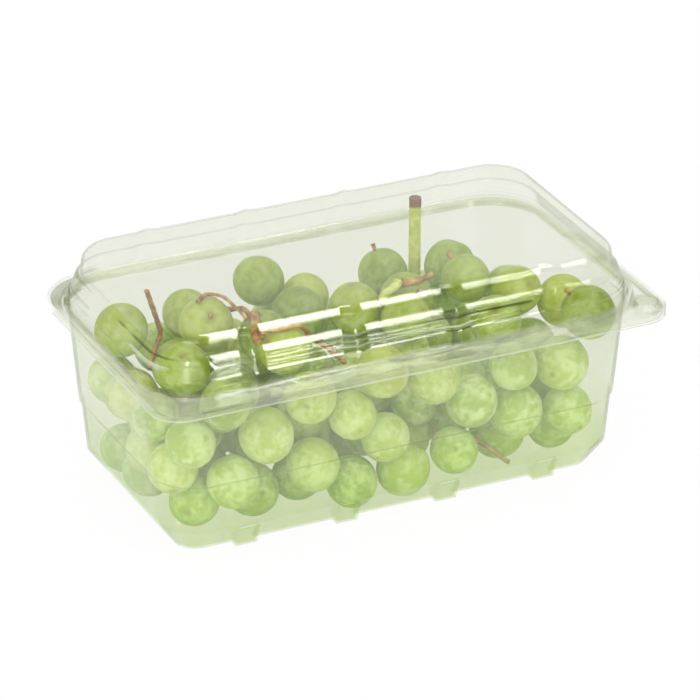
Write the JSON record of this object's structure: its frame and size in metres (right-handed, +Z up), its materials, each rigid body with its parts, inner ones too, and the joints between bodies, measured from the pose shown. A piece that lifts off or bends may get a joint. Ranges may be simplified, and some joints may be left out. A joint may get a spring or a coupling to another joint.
{
  "type": "fruit punnet with hinged lid",
  "caption": "Clear formed plastic fruit punnet with a ribbed dome lid that swings on a fold hinge and a snap tab at one corner, full of green grapes on their stalks.",
  "frame": {"origin": "centre of the flat base, on the surface that the pack stands on", "axes": "+X along the hinge, -Y towards the opening side, +Z up"},
  "size_m": [0.194, 0.1156, 0.0839],
  "materials": {
    "tray_sheet": "clear thin formed sheet, glossy, slightly hazy on the walls",
    "lid_sheet": "clear thin formed sheet, glossy",
    "grape_skin": "pale green fruit skin with a satin sheen and a dull bloom",
    "green_stalk": "fresh green stalk with a brown cut end",
    "brown_stalk": "dry brown stalk",
    "pale_stalk": "pale brown stalk"
  },
  "bodies": {
    "tray": {"tray": "tray_sheet", "grapes_left": "grape_skin", "grapes_middle": "grape_skin", "grapes_right": "grape_skin", "stalk_middle": "green_stalk", "stalk_end": "brown_stalk", "stalk_left": "brown_stalk", "stalk_front": "brown_stalk", "stalk_low": "pale_stalk"},
    "lid": {"lid": "lid_sheet"}
  },
  "joints": [
    {"name": "lid_hinge", "type": "hinge", "parent": "tray", "child": "lid", "pos_m": [0, 0.05775, 0.06355], "axis": [-1, 0, 0], "range_deg": [0, 180]}
  ]
}
